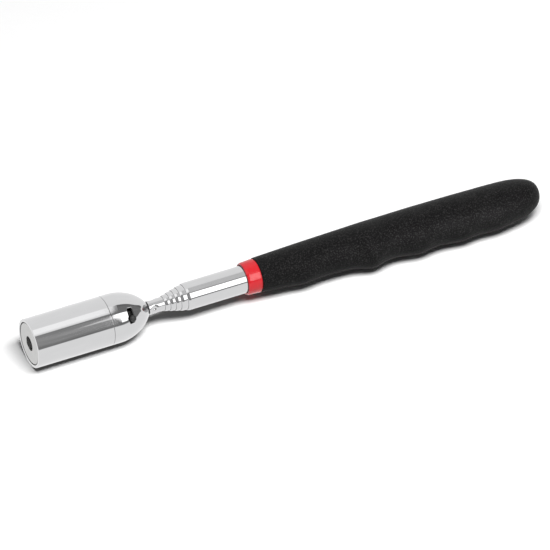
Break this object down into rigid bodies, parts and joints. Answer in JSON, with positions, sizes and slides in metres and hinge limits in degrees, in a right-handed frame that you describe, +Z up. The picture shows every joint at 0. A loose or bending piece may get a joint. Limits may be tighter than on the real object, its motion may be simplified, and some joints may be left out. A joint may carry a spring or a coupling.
{
  "type": "magnetic pickup tool",
  "caption": "Telescoping magnetic pickup tool: chrome lamp head with a ring magnet, nested chrome tubes, red collar and a soft black grip with finger ridges.",
  "frame": {"origin": "on the bench under the middle of the closed tool, where z is 0; the tool's axis is the line y = 0, z = 9 mm", "axes": "+X runs along the tool from the magnet face to the grip's butt, +Z is up as the tool lies on a bench, and the grip's finger ridges face -Y"},
  "size_m": [0.1976, 0.0194, 0.018],
  "materials": {
    "chrome": "polished chrome plate",
    "nickel": "satin nickel plate on a sintered magnet",
    "steel": "plain steel",
    "brass": "bare spring brass",
    "black_plastic": "moulded, slightly matt",
    "red_plastic": "glossy moulding",
    "grip_foam": "soft skin with a pebbled grain",
    "seal_rubber": "smooth nitrile rubber",
    "led_epoxy": "clear cast epoxy",
    "circuit_board": "green solder mask",
    "clear_film": "thin clear tube"
  },
  "bodies": {
    "handle": {"tube_stage_6": "chrome", "tube_end_cap": "black_plastic", "collar": "red_plastic", "grip": "grip_foam"},
    "stage_5": {"tube_stage_5": "chrome", "friction_ring_5": "brass"},
    "stage_4": {"tube_stage_4": "chrome", "friction_ring_4": "brass"},
    "stage_3": {"tube_stage_3": "chrome", "friction_ring_3": "brass"},
    "stage_2": {"tube_stage_2": "chrome", "friction_ring_2": "brass"},
    "stage_1": {"tube_stage_1": "chrome", "friction_ring_1": "brass", "head_stud": "steel"},
    "head": {"rear_dome": "chrome", "switch_body": "black_plastic", "switch_contact": "brass", "contact_spring": "steel", "battery_sleeve": "clear_film", "button_cell_1": "steel", "button_cell_2": "steel", "button_cell_3": "steel"},
    "switch": {"switch_slider": "black_plastic"},
    "seal": {"seal_ring": "seal_rubber"},
    "barrel": {"head_barrel": "chrome", "ring_magnet": "nickel", "magnet_sleeve": "black_plastic", "led": "led_epoxy", "led_anode_lead": "steel", "led_cathode_lead": "steel", "led_board": "circuit_board", "battery_contact": "brass"}
  },
  "joints": [
    {"name": "extend_5", "type": "slide", "parent": "handle", "child": "stage_5", "axis": [-1, 0, 0], "range_m": [0, 0.114]},
    {"name": "extend_4", "type": "slide", "parent": "stage_5", "child": "stage_4", "axis": [-1, 0, 0], "range_m": [0, 0.114]},
    {"name": "extend_3", "type": "slide", "parent": "stage_4", "child": "stage_3", "axis": [-1, 0, 0], "range_m": [0, 0.114]},
    {"name": "extend_2", "type": "slide", "parent": "stage_3", "child": "stage_2", "axis": [-1, 0, 0], "range_m": [0, 0.114]},
    {"name": "extend_1", "type": "slide", "parent": "stage_2", "child": "stage_1", "axis": [-1, 0, 0], "range_m": [0, 0.114]},
    {"name": "head_spin", "type": "hinge", "parent": "stage_1", "child": "head", "pos_m": [-0.0536, 0, 0.009], "axis": [1, 0, 0], "continuous": true},
    {"name": "switch_slide", "type": "hinge", "parent": "head", "child": "switch", "pos_m": [-0.0623, 0, 0.009], "axis": [-1, 0, 0], "range_deg": [0, 19]},
    {"name": "barrel_travel", "type": "slide", "parent": "head", "child": "seal", "axis": [-1, 0, 0], "range_m": [0, 0.0048]},
    {"name": "barrel_turn", "type": "hinge", "parent": "seal", "child": "barrel", "pos_m": [-0.0838, 0, 0.009], "axis": [-1, 0, 0], "range_deg": [0, 2160]}
  ],
  "couplings": [
    {"joint": "barrel_travel", "follows": "barrel_turn", "m_per_rad": 0.0001273}
  ]
}
